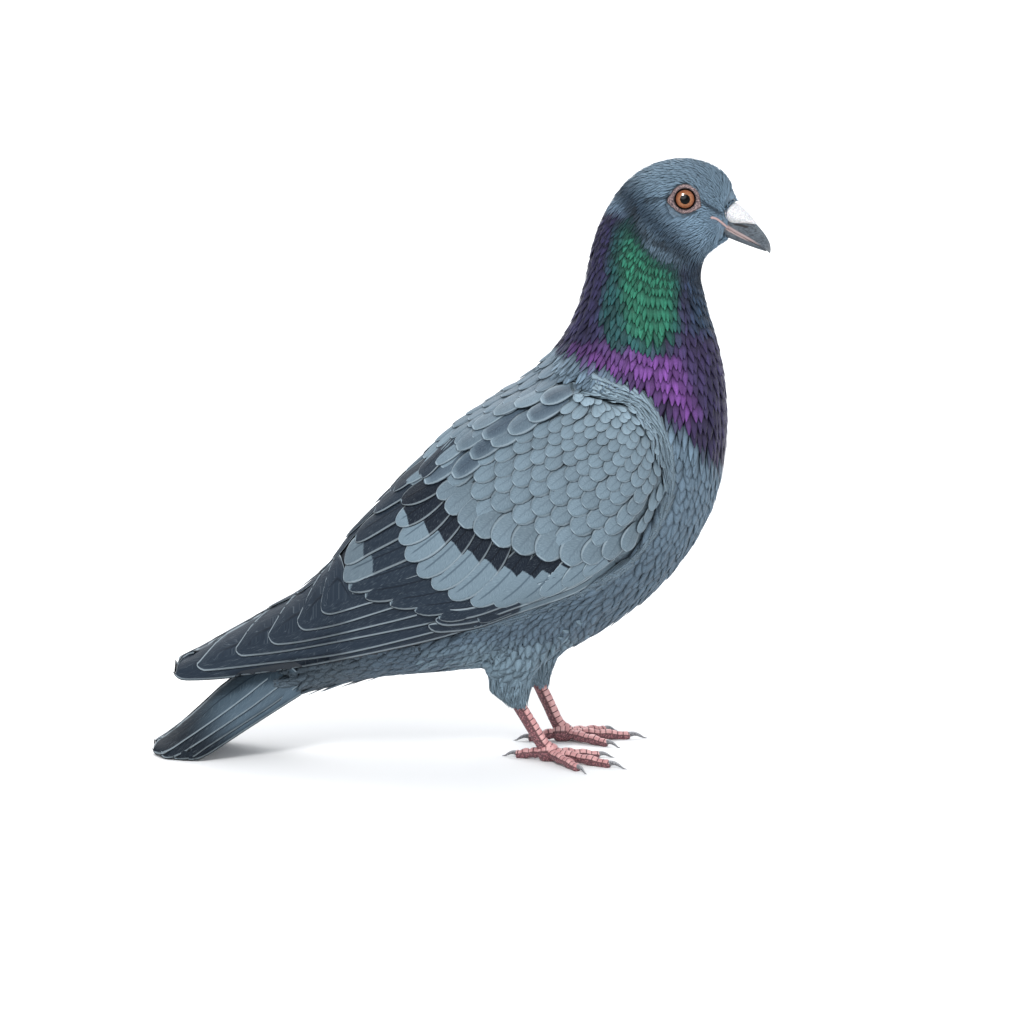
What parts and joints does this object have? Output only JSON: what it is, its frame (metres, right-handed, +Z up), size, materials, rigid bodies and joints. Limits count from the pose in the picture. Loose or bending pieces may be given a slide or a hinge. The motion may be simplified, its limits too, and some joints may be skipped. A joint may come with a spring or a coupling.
{
  "type": "pigeon",
  "caption": "Standing rock pigeon, life size, with folded wings, a hooked bill and clawed feet, as a still museum model.",
  "frame": {"origin": "on the floor under the middle of the bird's length, in its plane of symmetry", "axes": "+X towards the bill, +Y towards the bird's left, +Z up"},
  "size_m": [0.2412, 0.0966, 0.2355],
  "materials": {
    "head_plumage": "matte, finely feathered",
    "neck_plumage": "iridescent green and purple feathers",
    "breast_plumage": "matte, feathered",
    "rump_plumage": "matte, feathered",
    "wing_plumage": "matte, feathered, two dark bars",
    "flight_plumage": "smooth, feathered",
    "tail_plumage": "smooth, feathered",
    "bill": "horn, slightly glossy",
    "cere": "chalky bare skin",
    "eyelid": "granular bare skin",
    "eye": "clear gloss over an orange iris",
    "scaly_skin": "scaly bare skin",
    "claw": "horn, slightly glossy"
  },
  "bodies": {
    "root": {"head": "head_plumage", "neck": "neck_plumage", "trunk": "breast_plumage", "rump": "rump_plumage", "tail": "tail_plumage", "bill_upper": "bill", "bill_lower": "bill", "cere": "cere", "eye_right": "eye", "eyelid_right": "eyelid", "wing_right": "wing_plumage", "primaries_right": "flight_plumage", "thigh_right": "breast_plumage", "shank_right": "scaly_skin", "foot_right": "scaly_skin", "toe_middle_right": "scaly_skin", "claw_middle_right": "claw", "toe_inner_right": "scaly_skin", "claw_inner_right": "claw", "toe_outer_right": "scaly_skin", "claw_outer_right": "claw", "toe_hind_right": "scaly_skin", "claw_hind_right": "claw", "eye_left": "eye", "eyelid_left": "eyelid", "wing_left": "wing_plumage", "primaries_left": "flight_plumage", "thigh_left": "breast_plumage", "shank_left": "scaly_skin", "foot_left": "scaly_skin", "toe_middle_left": "scaly_skin", "claw_middle_left": "claw", "toe_inner_left": "scaly_skin", "claw_inner_left": "claw", "toe_outer_left": "scaly_skin", "claw_outer_left": "claw", "toe_hind_left": "scaly_skin", "claw_hind_left": "claw"}
  },
  "joints": []
}
